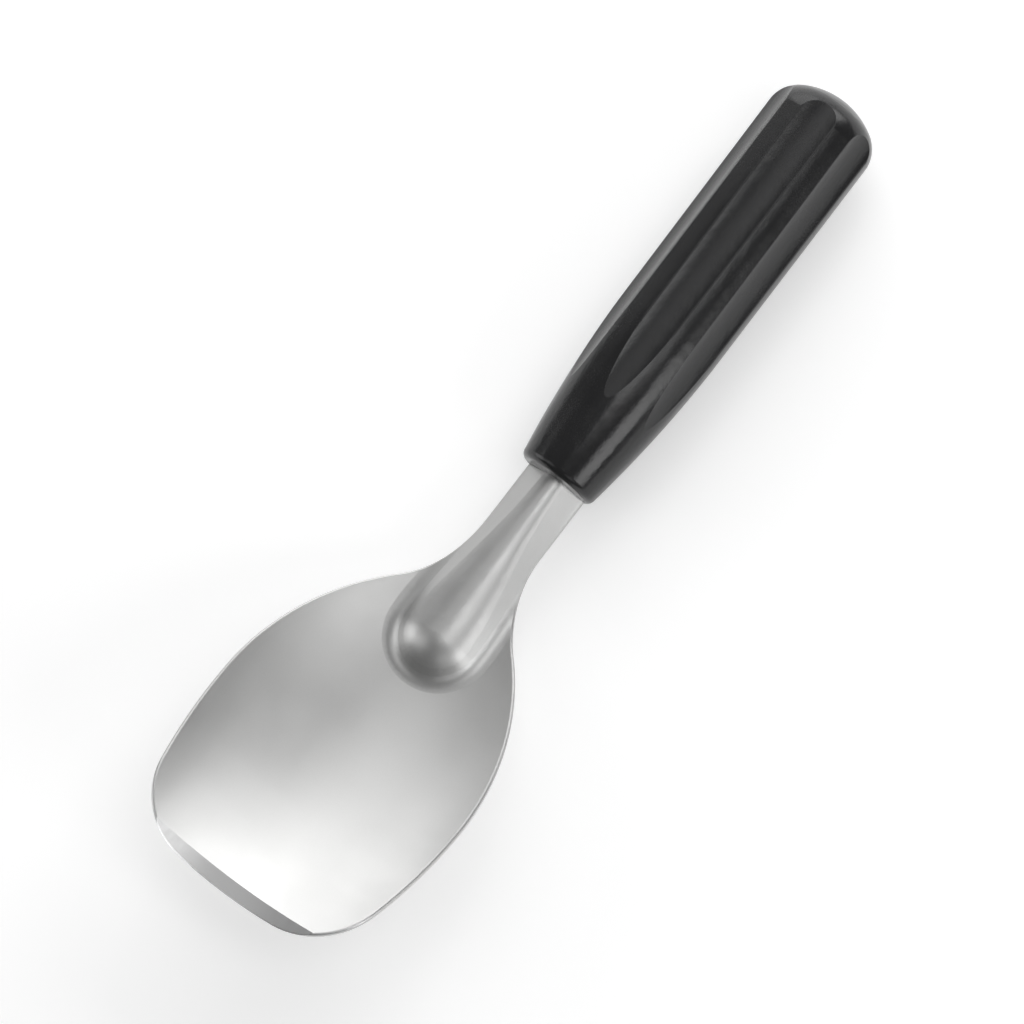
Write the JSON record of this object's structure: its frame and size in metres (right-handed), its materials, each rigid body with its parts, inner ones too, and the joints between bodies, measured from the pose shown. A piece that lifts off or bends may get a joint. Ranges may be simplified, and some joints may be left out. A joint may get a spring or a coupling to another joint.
{
  "type": "ice cream spade",
  "caption": "Hand spade for hard ice cream: a dished stainless sheet blade with a ground front edge and a raised neck ridge, its tang moulded into a fluted round handle",
  "frame": {"origin": "middle of the spade's box in X and Y, at the height of the lowest line of the handle", "axes": "+X runs along the handle's axis from the butt towards the blade's front edge, +Z is the scooping side, +Y completes the right-handed set"},
  "size_m": [0.229, 0.0654, 0.0322],
  "materials": {
    "stainless_steel": "fine blasted satin",
    "black_plastic": "satin moulded"
  },
  "bodies": {
    "root": {"blade": "stainless_steel", "handle": "black_plastic"}
  },
  "joints": []
}
